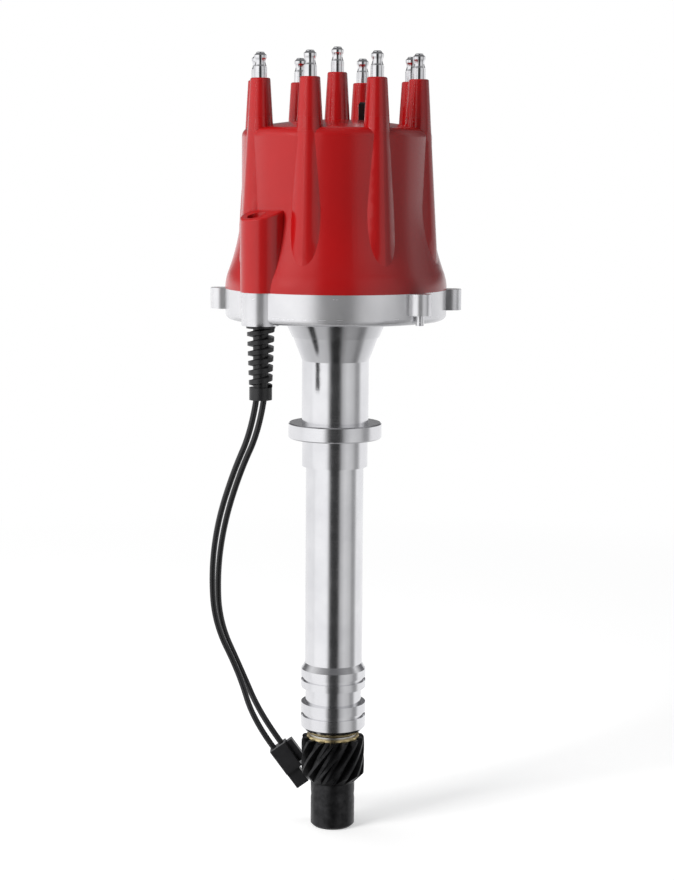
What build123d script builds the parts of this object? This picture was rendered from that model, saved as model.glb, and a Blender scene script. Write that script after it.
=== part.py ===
from build123d import *
from math import cos, degrees, pi, radians, sin, tan
import os

# Ignition distributor for a V8 engine, in millimetres.
# +Z runs up the shaft axis towards the cap. The origin is on that axis, in the collar's
# lower face, which seats on the manifold. -Y is the front, where the pickup leads leave.

os.makedirs("parts", exist_ok=True)

# ---------------------------------------------------------------- fits
running_fit = 0.04        # radial clearance of a shaft in its bush or a hinge on its pin
slip_fit = 0.1            # clearance of a piece that drops into its seat
face_gap = 0.3            # gap between faces that move past each other
end_play = 0.15           # gap between the housing and the thrust shim

# ---------------------------------------------------------------- housing
collar_r = 23.1
collar_h = 7.75
neck_r = 16.5
neck_top_z = 38.6
cone_step_z = 50.3
cone_step_r = 21.0
cone_step = 0.5           # little ledge turned half way up the cone
cone_top_r = 25.5
bowl_r = 54.2
bowl_wall = 4.7
bowl_bottom_z = 59.1
bowl_floor = 5.0
bowl_round = 3.0
rim_z = 74.1
register_r = 16.25
register_len = 14.0
tube_r = 14.3
tube_len = 100.0
journal_r = 16.2
journal_lead = 3.0        # tapered lead-in above the upper journal
land_heights = (3.9, 3.7, 4.8, 5.65)
ring_groove_w = 1.9
ring_groove_d = 1.0
gallery_w = 7.8           # oil gallery between the two journals
gallery_r = 14.0
end_chamfer = 3.75
collar_chamfer = 0.6
lug_w = 10.7              # clip lugs round the bowl
lug_out = 7.4             # lugs' noses, out from the bowl's wall
lug_starts = (0, -45)     # bearings of the two pairs of lugs, degrees
lug_bottom_z = 63.9
lug_pin_r = 2.0
boss_r = 9.0              # screw bosses under the cap's columns
boss_inset = 3.7          # boss centre, in from the bowl's wall
boss_bottom_z = 58.4

# ---------------------------------------------------------------- bearings and shaft
shaft_r = 6.35
shaft_waist = 0.5         # relief of the shaft between its bearings
bearing_r = 14.29
bearing_h = 7.94
race_t = 2.2
ball_r = 2.3
ball_count = 9
bush_r = 9.5
bush_len = 30.0
tube_bore_r = 8.6
clip_h = 1.0              # thickness of the snap rings
clip_bite = 1.0           # depth of a snap ring's groove
oil_slot_w = 4.8
oil_slot_h = 6.0
socket_depth = 10.0       # socket for the oil pump's drive rod, in the end of the gear's stub
socket_r = 6.75

# ---------------------------------------------------------------- gear
shim_t = 1.0
shim_r = 12.0
washer_t = 1.0
washer_r = 13.2
gear_teeth = 14
gear_r = 15.9
gear_root_r = 12.1
gear_len = 23.2
gear_helix = 38.0         # helix angle at the tips, degrees
gear_bevel_r = 11.2       # the teeth are bevelled down to this radius at the lower end
gear_top_round = 1.2
stub_r = 11.1
stub_len = 23.05
stub_chamfer = 1.2
roll_pin_r = 2.4
roll_pin_drop = 7.0       # roll pin below the teeth

# ---------------------------------------------------------------- cap
cap_r = 46.2
cap_overhang = 0.1        # cap's rim past the bowl, radial
flare_top_z = 118.0
flare_knee_in = 1.9       # knee of the flare, in from the rim
flare_knee_z = 83.4
deck_rim_z = 151.0
deck_dome = 4.9
deck_round = 4.5
cap_lip_h = 2.5
cap_lip_t = 2.2
cap_mouth_top_z = 84.0
cap_in_r = 41.0
cap_in_bottom_z = 113.0
cap_in_top_z = 147.0
cap_in_round = 4.0
tower_count = 8
tower_centre_r = 41.0
tower_top_r = 4.75
tower_top_z = 174.8
tower_draft = 3.5
tower_tip_z = 82.0        # the towers run on down the wall as ribs to about here
tower_first = -108.0      # bearing of the first tower, degrees from +X
coil_tower_z = 178.5
tower_round = 0.9
button_boss_r = 7.0
button_boss_z = 138.0
column_inset = 5.7        # column centre, in from the bowl's wall
column_r = 11.0
column_top_z = 112.6
column_slope = 17.0
column_bearing = -135.0   # front left; the second one stands opposite
column_round = 1.2
screw_inset = 1.0         # cap screw, in from the bowl's wall
screw_seat_z = 84.0
screw_shank_r = 2.4
screw_head_r = 3.9
screw_head_h = 4.0
screw_well_r = 4.4
screw_len = 21.0
vent_x = 14.5
vent_y = 13.0
vent_w = 8.0
vent_h = 12.0
vent_seat_z = 152.6

# ---------------------------------------------------------------- cap terminals
terminal_r = 3.175        # base, which the lead's clip ends on
terminal_head_r = 3.0
terminal_neck_r = 2.5
terminal_tip_r = 2.0
terminal_base_h = 5.0
terminal_groove_h = 0.35
terminal_groove_d = 0.35
terminal_neck_h = 1.5
terminal_flare_h = 2.4
terminal_head_h = 1.3
terminal_crown_round = 0.6
terminal_h = 12.1
stem_r = 2.5
electrode_z = 122.5
coil_stem_z = 144.5
button_r = 2.6
button_len = 8.0
button_z = 131.5

# ---------------------------------------------------------------- trigger and advance
sleeve_r = 9.0
sleeve_washer_t = 1.0
reluctor_z = 67.0
reluctor_h = 8.0
reluctor_r = 19.5
reluctor_root_r = 15.0
reluctor_point_w = 3.4
plate_z = 80.0
plate_t = 3.0
plate_r = 30.0
pin_centre_r = 22.0
pin_r = 2.5
weight_t = 5.0
weight_in_r = 13.6
weight_out_r = 29.0
weight_start = -12.0
weight_end = 62.0
weight_corner = 2.5
cam_r = 12.4
cam_waist_r = 9.0
cam_arm_bearing = 115.0
stop_centre_r = 15.0
stop_pin_r = 1.6
stop_bushing_r = 3.0
advance_range = 14.0      # shaft degrees of centrifugal advance
spring_r = 1.9
spring_turns = 7
spring_wire = 0.9
spring_post_r = 1.5
spring_eye_side = 1.6     # side play of the post in the spring's long eye
standoff_r = 3.2
standoff_centre_r = 25.0
standoff_h = 11.0
rotor_r = 34.0
rotor_base_t = 3.0
rotor_hub_r = 14.0
rotor_web_reach = 6.0     # web's foot past the hub
rotor_neck_r = 9.0
rotor_top_z = 128.0
rotor_arm_w = 11.0
rotor_arm_t = 5.0
rotor_arm_r = 33.0
blade_t = 1.2
blade_w = 6.5
spark_gap = 1.2
rotor_screw_r = 1.9
rotor_screw_head_r = 3.7
rotor_screw_head_h = 2.4

# ---------------------------------------------------------------- pickup
bracket_t = 2.0
bracket_w = 34.0
pole_gap = 0.8
pole_w = 4.0
coil_len = 13.0
coil_w = 18.0
coil_h = 11.0
magnet_len = 5.0
magnet_w = 12.0
pickup_screw_r = 1.9
pickup_screw_head_r = 3.4
pickup_screw_head_h = 2.2
pickup_screw_depth = 3.0

# ---------------------------------------------------------------- leads and connector
relief_x = -35.8
relief_y = -28.0
relief_hole_r = 4.0
relief_flange_r = 7.0
relief_flange_h = 2.6
relief_core_r = 3.75
relief_rib_r = 6.7
relief_rib_end_r = 5.6
relief_pitch = 4.65
relief_collar_r = 5.5
relief_collar_h = 6.0
relief_end_z = 22.0
lead_r = 1.5
inner_lead_r = 1.0
inner_lead_h = 5.4        # leads inside the bowl, above its floor
lead_left_route = (
    (-37.9, -28.0, 22.0),
    (-40.2, -27.3, 7.0),
    (-49.4, -20.3, -14.5),
    (-58.0, -6.9, -42.0),
    (-61.9, 6.5, -70.0),
    (-60.6, 12.9, -98.0),
    (-48.3, 14.5, -124.0),
    (-40.8, 11.0, -148.1),
    (-30.2, 11.0, -162.63),
)
lead_right_route = (
    (-34.3, -28.0, 22.0),
    (-36.6, -27.1, 7.0),
    (-45.9, -19.5, -14.0),
    (-54.6, -4.9, -42.0),
    (-59.0, 9.6, -70.0),
    (-58.4, 17.0, -98.0),
    (-47.6, 19.0, -123.0),
    (-37.0, 11.0, -145.3),
    (-26.4, 11.0, -159.87),
)
connector_centre = (-28.3, 11.0, -161.25)
connector_tilt = 36.0     # the connector points down and in towards the gear
connector_w = 9.5
connector_d = 8.0
connector_len = 14.7
nose_w = 7.3
nose_d = 5.6
nose_len = 9.0
connector_pin_r = 0.8
connector_wall = 1.1
latch_w = 3.2
latch_len = 12.0
latch_back = 1.2          # the latch lies towards the connector's far side


# ---------------------------------------------------------------- levels that follow
floor_z = bowl_bottom_z + bowl_floor
bowl_in_r = bowl_r - bowl_wall
lug_reach = bowl_r + lug_out
boss_centre_r = bowl_r - boss_inset
column_centre_r = bowl_r - column_inset
screw_centre_r = bowl_r - screw_inset
cap_rim_r = bowl_r + cap_overhang
flare_knee_r = cap_rim_r - flare_knee_in
cap_lip_r = bowl_in_r - slip_fit
cap_mouth_r = cap_lip_r - cap_lip_t
tube_end_z = -register_len - tube_len
land_1_z = tube_end_z - journal_lead
groove_1_z = land_1_z - land_heights[0]
land_2_z = groove_1_z - ring_groove_w
gallery_z = land_2_z - land_heights[1]
land_3_z = gallery_z - gallery_w
groove_2_z = land_3_z - land_heights[2]
land_4_z = groove_2_z - ring_groove_w
end_chamfer_z = land_4_z - land_heights[3]
housing_end_z = end_chamfer_z - end_chamfer
groove_r = journal_r - ring_groove_d

bearing_top_z = floor_z - 2.2
bearing_bottom_z = bearing_top_z - bearing_h
ball_centre_r = (bearing_r + shaft_r) / 2
ball_z = bearing_top_z - bearing_h / 2

shim_z = housing_end_z - end_play
washer_z = shim_z - shim_t
gear_z = washer_z - washer_t
teeth_end_z = gear_z - gear_len
stub_end_z = teeth_end_z - stub_len
shaft_end_z = stub_end_z + socket_depth
roll_pin_z = teeth_end_z - roll_pin_drop

sleeve_z = bearing_top_z + sleeve_washer_t
plate_top_z = plate_z + plate_t
weight_z = plate_top_z + face_gap
weight_top_z = weight_z + weight_t
cam_clip_z = weight_top_z
post_top_z = weight_top_z + 2 * spring_r + 0.6
shaft_top_z = cam_clip_z + clip_h + 1.0
rotor_z = plate_top_z + standoff_h
rotor_base_top_z = rotor_z + rotor_base_t
blade_top_z = rotor_top_z + blade_t
blade_tip_r = tower_centre_r - stem_r - spark_gap
column_span = (column_bearing, column_bearing + 180)

pole_z = reluctor_z + reluctor_h / 2
pole_tip_x = -(reluctor_r + pole_gap)
coil_x = pole_tip_x - 2.7 - coil_len / 2
magnet_x = coil_x - coil_len / 2 - magnet_len / 2
bracket_in_x = pole_tip_x - 0.7
bracket_out_x = magnet_x - magnet_len / 2 - 2
bracket_top_z = floor_z + bracket_t
pickup_screw_y = (coil_w / 2 + bracket_w / 2) / 2


def bearing_vector(bearing):
    """Unit vector in the XY plane at a bearing in degrees from +X."""
    return Vector(cos(radians(bearing)), sin(radians(bearing)), 0)


def corner_radii(points):
    """Arc radius for each inner corner of a free lead: as large as its runs allow."""
    radii = []
    for before, corner, after in zip(points, points[1:], points[2:]):
        run_in = Vector(*corner) - Vector(*before)
        run_out = Vector(*after) - Vector(*corner)
        half_turn = radians(run_in.get_angle(run_out)) / 2
        radii.append(0.45 * min(run_in.length, run_out.length) / tan(half_turn))
    return radii


# ================================================================ housing
with BuildPart() as housing:
    with BuildSketch(Plane.XZ):
        with BuildLine():
            Polyline(
                (0, housing_end_z),
                (journal_r - end_chamfer, housing_end_z),
                (journal_r, end_chamfer_z),
                (journal_r, land_4_z),
                (groove_r, land_4_z),
                (groove_r, groove_2_z),
                (journal_r, groove_2_z),
                (journal_r, land_3_z),
                (gallery_r, land_3_z),
                (gallery_r, gallery_z),
                (journal_r, gallery_z),
                (journal_r, land_2_z),
                (groove_r, land_2_z),
                (groove_r, groove_1_z),
                (journal_r, groove_1_z),
                (journal_r, land_1_z),
                (tube_r, tube_end_z),
                (tube_r, -register_len),
                (register_r, -register_len),
                (register_r, 0),
                (collar_r, 0),
                (collar_r, collar_h),
                (neck_r, collar_h),
                (neck_r, neck_top_z),
                (cone_step_r, cone_step_z),
                (cone_step_r + cone_step, cone_step_z),
                (cone_top_r, bowl_bottom_z),
                (bowl_r, bowl_bottom_z),
                (bowl_r, rim_z),
                (0, rim_z),
                close=True,
            )
        make_face()
    revolve(axis=Axis.Z)
    collar_edges = housing.edges().filter_by(GeomType.CIRCLE)
    collar_edges = collar_edges.filter_by(lambda e: abs(e.radius - collar_r) < 0.01)
    chamfer(collar_edges, collar_chamfer)
    bowl_edge = housing.edges().filter_by(GeomType.CIRCLE)
    bowl_edge = bowl_edge.filter_by(lambda e: abs(e.radius - bowl_r) < 0.01).sort_by(Axis.Z)[0]
    fillet(bowl_edge, bowl_round)
    # clip lugs at both sides and on one diagonal, each with a pin under its nose
    for lug_start in lug_starts:
        with BuildSketch(Plane.XY.offset(lug_bottom_z)):
            with PolarLocations(lug_reach - lug_w / 2, 2, start_angle=lug_start):
                Circle(lug_w / 2)
            with PolarLocations(bowl_r - 1, 2, start_angle=lug_start):
                Rectangle(2 * (lug_reach - lug_w / 2 - bowl_r + 1), lug_w)
        extrude(amount=rim_z - lug_bottom_z)
    with BuildSketch(Plane.XY.offset(bowl_bottom_z)):
        with PolarLocations(lug_reach - lug_w / 2, 2, start_angle=lug_starts[1]):
            Circle(lug_pin_r)
    extrude(amount=lug_bottom_z - bowl_bottom_z)
    # screw bosses under the cap's columns
    with BuildSketch(Plane.XY.offset(boss_bottom_z)):
        with PolarLocations(boss_centre_r, 2, start_angle=column_bearing):
            Circle(boss_r)
    extrude(amount=rim_z - boss_bottom_z)
    with BuildSketch(Plane.XY.offset(boss_bottom_z)):
        with Locations((relief_x, relief_y)):
            Circle(relief_flange_r + slip_fit)
    extrude(amount=bowl_bottom_z - boss_bottom_z, mode=Mode.SUBTRACT)
    # bowl
    with BuildSketch(Plane.XY.offset(floor_z)):
        Circle(bowl_in_r)
    extrude(amount=rim_z - floor_z, mode=Mode.SUBTRACT)
    # bearing pocket with its snap ring groove, tube bore and bush seat
    with BuildSketch(Plane.XZ):
        with BuildLine():
            Polyline(
                (0, housing_end_z),
                (bush_r, housing_end_z),
                (bush_r, housing_end_z + bush_len),
                (tube_bore_r, housing_end_z + bush_len),
                (tube_bore_r, bearing_bottom_z),
                (bearing_r, bearing_bottom_z),
                (bearing_r, bearing_top_z),
                (bearing_r + clip_bite, bearing_top_z),
                (bearing_r + clip_bite, bearing_top_z + clip_h),
                (bearing_r, bearing_top_z + clip_h),
                (bearing_r, floor_z),
                (0, floor_z),
                close=True,
            )
        make_face()
    revolve(axis=Axis.Z, mode=Mode.SUBTRACT)
    # holes: cap screws, pickup leads, pickup screws
    with Locations(Plane.XY.offset(rim_z)):
        with PolarLocations(screw_centre_r, 2, start_angle=column_bearing):
            Hole(screw_shank_r + slip_fit, depth=rim_z - screw_seat_z + screw_len + 1)
    with Locations((relief_x, relief_y, floor_z)):
        Hole(relief_hole_r, depth=bowl_floor + 1)
    with Locations((coil_x, pickup_screw_y, floor_z), (coil_x, -pickup_screw_y, floor_z)):
        Hole(pickup_screw_r, depth=pickup_screw_depth)
housing.part.label = "housing"
export_step(housing.part, "parts/housing.step")

with BuildPart() as lower_bush:
    with BuildSketch(Plane.XY.offset(housing_end_z)):
        Circle(bush_r)
        Circle(shaft_r + running_fit, mode=Mode.SUBTRACT)
    extrude(amount=bush_len)
lower_bush.part.label = "lower_bush"
export_step(lower_bush.part, "parts/lower_bush.step")

# ================================================================ upper ball bearing
with BuildPart() as bearing_outer_race:
    with BuildSketch(Plane.XZ):
        with Locations((bearing_r - race_t / 2, ball_z)):
            Rectangle(race_t, bearing_h)
        with Locations((ball_centre_r, ball_z)):
            Circle(ball_r, mode=Mode.SUBTRACT)
    revolve(axis=Axis.Z)
bearing_outer_race.part.label = "bearing_outer_race"
export_step(bearing_outer_race.part, "parts/bearing_outer_race.step")

with BuildPart() as bearing_inner_race:
    with BuildSketch(Plane.XZ):
        with Locations((shaft_r + race_t / 2, ball_z)):
            Rectangle(race_t, bearing_h)
        with Locations((ball_centre_r, ball_z)):
            Circle(ball_r + slip_fit, mode=Mode.SUBTRACT)
    revolve(axis=Axis.Z)
bearing_inner_race.part.label = "bearing_inner_race"
export_step(bearing_inner_race.part, "parts/bearing_inner_race.step")

with BuildPart() as bearing_balls:
    with Locations(Plane.XY.offset(ball_z)):
        with PolarLocations(ball_centre_r, ball_count):
            Sphere(ball_r)
bearing_balls.part.label = "bearing_balls"
export_step(bearing_balls.part, "parts/bearing_balls.step")

with BuildPart() as bearing_snap_ring:
    with BuildSketch(Plane.XY.offset(bearing_top_z)):
        Circle(bearing_r + clip_bite)
        Circle(bearing_r - clip_bite, mode=Mode.SUBTRACT)
        with Locations((bearing_r, 0)):
            Rectangle(4 * clip_bite, 3 * clip_bite, mode=Mode.SUBTRACT)
    extrude(amount=clip_h)
bearing_snap_ring.part.label = "bearing_snap_ring"
export_step(bearing_snap_ring.part, "parts/bearing_snap_ring.step")

# ================================================================ shaft and drive gear
with BuildPart() as shaft:
    with BuildSketch(Plane.XY.offset(shaft_end_z)):
        Circle(shaft_r)
    extrude(amount=shaft_top_z - shaft_end_z)
    waist_bottom_z = housing_end_z + bush_len + 2
    with BuildSketch(Plane.XY.offset(waist_bottom_z)):
        Circle(shaft_r)
        Circle(shaft_r - shaft_waist, mode=Mode.SUBTRACT)
    extrude(amount=bearing_bottom_z - 2 - waist_bottom_z, mode=Mode.SUBTRACT)
    # slot for the oil pump's drive rod
    with BuildSketch(Plane.XY.offset(shaft_end_z)):
        Rectangle(oil_slot_w, 2 * shaft_r)
    extrude(amount=oil_slot_h, mode=Mode.SUBTRACT)
    # groove for the clip that holds the advance cam
    with BuildSketch(Plane.XY.offset(cam_clip_z)):
        Circle(shaft_r)
        Circle(shaft_r - clip_bite, mode=Mode.SUBTRACT)
    extrude(amount=clip_h, mode=Mode.SUBTRACT)
    chamfer(shaft.edges().sort_by(Axis.Z)[-1], 0.5)
    # cross hole for the roll pin
    with BuildSketch(Plane.YZ):
        with Locations((0, roll_pin_z)):
            Circle(roll_pin_r)
    extrude(amount=shaft_r, both=True, mode=Mode.SUBTRACT)
shaft.part.label = "shaft"
export_step(shaft.part, "parts/shaft.step")

with BuildPart() as thrust_shim:
    with BuildSketch(Plane.XY.offset(washer_z)):
        Circle(shim_r)
        Circle(shaft_r, mode=Mode.SUBTRACT)
    extrude(amount=shim_t)
thrust_shim.part.label = "thrust_shim"
export_step(thrust_shim.part, "parts/thrust_shim.step")

with BuildPart() as thrust_washer:
    with BuildSketch(Plane.XY.offset(gear_z)):
        Circle(washer_r)
        Circle(shaft_r, mode=Mode.SUBTRACT)
    extrude(amount=washer_t)
thrust_washer.part.label = "thrust_washer"
export_step(thrust_washer.part, "parts/thrust_washer.step")

# one transverse section of the gear, twisted down the face to make the helical teeth
tooth_tip_w = 0.19 * 2 * pi * gear_r / gear_teeth
tooth_root_w = 0.68 * 2 * pi * gear_root_r / gear_teeth
tooth_mid_r = (gear_r + gear_root_r) / 2
tooth_mid_w = 0.58 * (tooth_tip_w + tooth_root_w)
with BuildSketch() as gear_tooth:
    with BuildLine():
        flank = Spline(
            (gear_root_r - 0.6, tooth_root_w / 2),
            (tooth_mid_r, tooth_mid_w / 2),
            (gear_r + 0.4, tooth_tip_w / 2),
        )
        mirror(flank, about=Plane.XZ)
        Line(flank @ 0, (gear_root_r - 0.6, -tooth_root_w / 2))
        Line(flank @ 1, (gear_r + 0.4, -tooth_tip_w / 2))
    make_face()
with BuildSketch() as gear_section:
    Circle(gear_root_r)
    with PolarLocations(0, gear_teeth):
        add(gear_tooth.sketch)
gear_twist = degrees(gear_len * tan(radians(gear_helix)) / gear_r)
gear_teeth_solid = Solid.extrude_linear_with_rotation(
    section=gear_section.sketch.faces()[0],
    center=(0, 0, 0),
    normal=(0, 0, gear_len),
    angle=gear_twist,
)

with BuildPart() as drive_gear:
    with Locations((0, 0, teeth_end_z)):
        add(gear_teeth_solid)
    # blank that the teeth are cut on: rounded at the top, bevelled at the bottom
    with BuildSketch(Plane.XZ):
        with BuildLine():
            bevel_h = gear_r - gear_bevel_r
            Line((0, gear_z), (gear_r - gear_top_round, gear_z))
            TangentArc(
                (gear_r - gear_top_round, gear_z),
                (gear_r, gear_z - gear_top_round),
                tangent=(1, 0),
            )
            Polyline(
                (gear_r, gear_z - gear_top_round),
                (gear_r, teeth_end_z + bevel_h),
                (gear_bevel_r, teeth_end_z),
                (0, teeth_end_z),
                (0, gear_z),
            )
        make_face()
    revolve(axis=Axis.Z, mode=Mode.INTERSECT)
    with BuildSketch(Plane.XY.offset(stub_end_z)):
        Circle(stub_r)
    extrude(amount=stub_len + 0.5)
    chamfer(drive_gear.edges().sort_by(Axis.Z)[0], stub_chamfer)
    with BuildSketch(Plane.XY.offset(stub_end_z)):
        Circle(shaft_r)
    extrude(amount=gear_z - stub_end_z, mode=Mode.SUBTRACT)
    with BuildSketch(Plane.XY.offset(stub_end_z)):
        Circle(socket_r)
    extrude(amount=socket_depth, mode=Mode.SUBTRACT)
    with BuildSketch(Plane.YZ):
        with Locations((0, roll_pin_z)):
            Circle(roll_pin_r)
    extrude(amount=stub_r + 1, both=True, mode=Mode.SUBTRACT)
drive_gear.part.label = "drive_gear"
export_step(drive_gear.part, "parts/drive_gear.step")

with BuildPart() as gear_roll_pin:
    with BuildSketch(Plane.YZ):
        with Locations((0, roll_pin_z)):
            Circle(roll_pin_r)
            Circle(roll_pin_r * 0.55, mode=Mode.SUBTRACT)
            with Locations((0, roll_pin_r)):
                Rectangle(0.6, roll_pin_r, mode=Mode.SUBTRACT)
    extrude(amount=stub_r - 0.6, both=True)
gear_roll_pin.part.label = "gear_roll_pin"
export_step(gear_roll_pin.part, "parts/gear_roll_pin.step")

# ================================================================ trigger and advance
with BuildPart() as sleeve_washer:
    with BuildSketch(Plane.XY.offset(bearing_top_z)):
        Circle(sleeve_r)
        Circle(shaft_r, mode=Mode.SUBTRACT)
    extrude(amount=sleeve_washer_t - end_play)
sleeve_washer.part.label = "sleeve_washer"
export_step(sleeve_washer.part, "parts/sleeve_washer.step")

with BuildPart() as advance_sleeve:
    with BuildSketch(Plane.XY.offset(sleeve_z)):
        Circle(sleeve_r)
        Circle(shaft_r + running_fit, mode=Mode.SUBTRACT)
    extrude(amount=plate_top_z - sleeve_z)
advance_sleeve.part.label = "advance_sleeve"
export_step(advance_sleeve.part, "parts/advance_sleeve.step")

with BuildPart() as reluctor:
    with BuildSketch(Plane.XY.offset(reluctor_z)):
        Circle(reluctor_root_r)
        with PolarLocations(reluctor_root_r - 1, tower_count):
            Trapezoid(
                2 * (reluctor_r - reluctor_root_r + 1),
                reluctor_point_w,
                90,
            )
        Circle(reluctor_r, mode=Mode.INTERSECT)
        Circle(sleeve_r, mode=Mode.SUBTRACT)
    extrude(amount=reluctor_h)
reluctor.part.label = "reluctor"
export_step(reluctor.part, "parts/reluctor.step")

with BuildPart() as advance_plate:
    with BuildSketch(Plane.XY.offset(plate_z)):
        Circle(plate_r)
        Circle(sleeve_r, mode=Mode.SUBTRACT)
        with PolarLocations(pin_centre_r, 2):
            Circle(pin_r, mode=Mode.SUBTRACT)
        # curved slot in which the stop bushing travels
        with BuildLine(mode=Mode.PRIVATE) as stop_path:
            CenterArc(
                (0, 0),
                stop_centre_r,
                cam_arm_bearing - advance_range - 1,
                advance_range + 2,
            )
        SlotArc(stop_path.edges()[0], 2 * (stop_bushing_r + slip_fit), mode=Mode.SUBTRACT)
    extrude(amount=plate_t)
advance_plate.part.label = "advance_plate"
export_step(advance_plate.part, "parts/advance_plate.step")

weight_bearings = (0.0, 180.0)
for number, bearing in enumerate(weight_bearings, start=1):
    with BuildPart() as weight_pin:
        with BuildSketch(Plane.XY.offset(plate_z)):
            with Locations(bearing_vector(bearing) * pin_centre_r):
                Circle(pin_r)
        extrude(amount=post_top_z - plate_z)
    weight_pin.part.label = f"weight_pin_{number}"
    export_step(weight_pin.part, f"parts/weight_pin_{number}.step")

    with BuildPart() as weight:
        with BuildSketch(Plane.XY.offset(weight_z)) as weight_plan:
            with BuildLine():
                start = bearing + weight_start
                sweep_angle = weight_end - weight_start
                inner = CenterArc((0, 0), weight_in_r, start, sweep_angle)
                outer = CenterArc((0, 0), weight_out_r, start, sweep_angle)
                Line(inner @ 0, outer @ 0)
                Line(inner @ 1, outer @ 1)
            make_face()
            fillet(weight_plan.vertices(), weight_corner)
            with Locations(bearing_vector(bearing) * pin_centre_r):
                Circle(pin_r + running_fit, mode=Mode.SUBTRACT)
        extrude(amount=weight_t)
    weight.part.label = f"weight_{number}"
    export_step(weight.part, f"parts/weight_{number}.step")

with BuildPart() as advance_cam:
    with BuildSketch(Plane.XY.offset(weight_z)):
        Circle(cam_waist_r)
        Ellipse(cam_r, cam_waist_r)
        with PolarLocations(stop_centre_r / 2, 2, start_angle=cam_arm_bearing):
            Rectangle(stop_centre_r, 2 * stop_bushing_r)
        with PolarLocations(stop_centre_r, 2, start_angle=cam_arm_bearing):
            Circle(stop_bushing_r)
        Circle(shaft_r, mode=Mode.SUBTRACT)
    extrude(amount=weight_t)
    # posts for the springs, and the pin below that carries the stop bushing
    with BuildSketch(Plane.XY.offset(weight_top_z)):
        with PolarLocations(stop_centre_r, 2, start_angle=cam_arm_bearing):
            Circle(spring_post_r)
    extrude(amount=post_top_z - weight_top_z)
    with BuildSketch(Plane.XY.offset(plate_z - 1)):
        with Locations(bearing_vector(cam_arm_bearing) * stop_centre_r):
            Circle(stop_pin_r)
    extrude(amount=weight_z - plate_z + 1)
advance_cam.part.label = "advance_cam"
export_step(advance_cam.part, "parts/advance_cam.step")

with BuildPart() as stop_bushing:
    with BuildSketch(Plane.XY.offset(plate_z - 1)):
        with Locations(bearing_vector(cam_arm_bearing) * stop_centre_r):
            Circle(stop_bushing_r)
            Circle(stop_pin_r, mode=Mode.SUBTRACT)
    extrude(amount=weight_z - plate_z + 1)
stop_bushing.part.label = "stop_bushing"
export_step(stop_bushing.part, "parts/stop_bushing.step")

with BuildPart() as cam_clip:
    with BuildSketch(Plane.XY.offset(cam_clip_z)):
        Circle(shaft_r + 2)
        Circle(shaft_r - clip_bite, mode=Mode.SUBTRACT)
        with Locations((shaft_r, 0)):
            Rectangle(2 * shaft_r, 5, mode=Mode.SUBTRACT)
    extrude(amount=clip_h)
cam_clip.part.label = "cam_clip"
export_step(cam_clip.part, "parts/cam_clip.step")


# each spring runs from a weight pin to the cam's post, with a long eye on the post
spring_z = weight_top_z + spring_r + face_gap
for number, bearing in enumerate(weight_bearings, start=1):
    pin_end = bearing_vector(bearing) * pin_centre_r
    post_end = bearing_vector(bearing + cam_arm_bearing - 180) * stop_centre_r
    span = post_end - pin_end
    eye_len = radians(advance_range) * stop_centre_r
    eye_w = 2 * (spring_post_r + spring_eye_side)
    coil_start = pin_r + spring_wire + 1
    coil_stop = span.length - eye_w / 2 - spring_wire
    coil_pitch = (coil_stop - coil_start) / spring_turns
    spring_plane = Plane(
        origin=(pin_end.X, pin_end.Y, spring_z - spring_wire / 2),
        x_dir=span,
        z_dir=(0, 0, 1),
    )
    with BuildPart() as spring:
        with BuildSketch(spring_plane):
            Circle(pin_r + slip_fit + spring_wire)
            with Locations((span.length + eye_len / 2, 0)):
                SlotCenterToCenter(eye_len, eye_w + 2 * spring_wire)
            with Locations((span.length / 2, 0)):
                Rectangle(span.length, spring_wire)
            Circle(pin_r + slip_fit, mode=Mode.SUBTRACT)
            with Locations((span.length + eye_len / 2, 0)):
                SlotCenterToCenter(eye_len, eye_w, mode=Mode.SUBTRACT)
        extrude(amount=spring_wire)
        coil_axis = Axis((pin_end.X, pin_end.Y, spring_z), span)
        coil_plane = Plane(
            origin=(pin_end.X, pin_end.Y, spring_z),
            x_dir=span,
            z_dir=span.cross(Vector(0, 0, 1)),
        )
        with BuildSketch(coil_plane):
            with Locations(((coil_start + coil_stop) / 2, spring_r / 4)):
                Rectangle(coil_stop - coil_start, spring_r / 2)
            for turn in range(spring_turns):
                with Locations((coil_start + (turn + 0.5) * coil_pitch, spring_r - coil_pitch / 2)):
                    Circle(coil_pitch / 2)
            with Locations(((coil_start + coil_stop) / 2, (spring_r - coil_pitch / 2) / 2)):
                Rectangle(coil_stop - coil_start, spring_r - coil_pitch / 2)
        revolve(axis=coil_axis)
    spring.part.label = f"advance_spring_{number}"
    export_step(spring.part, f"parts/advance_spring_{number}.step")

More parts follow.
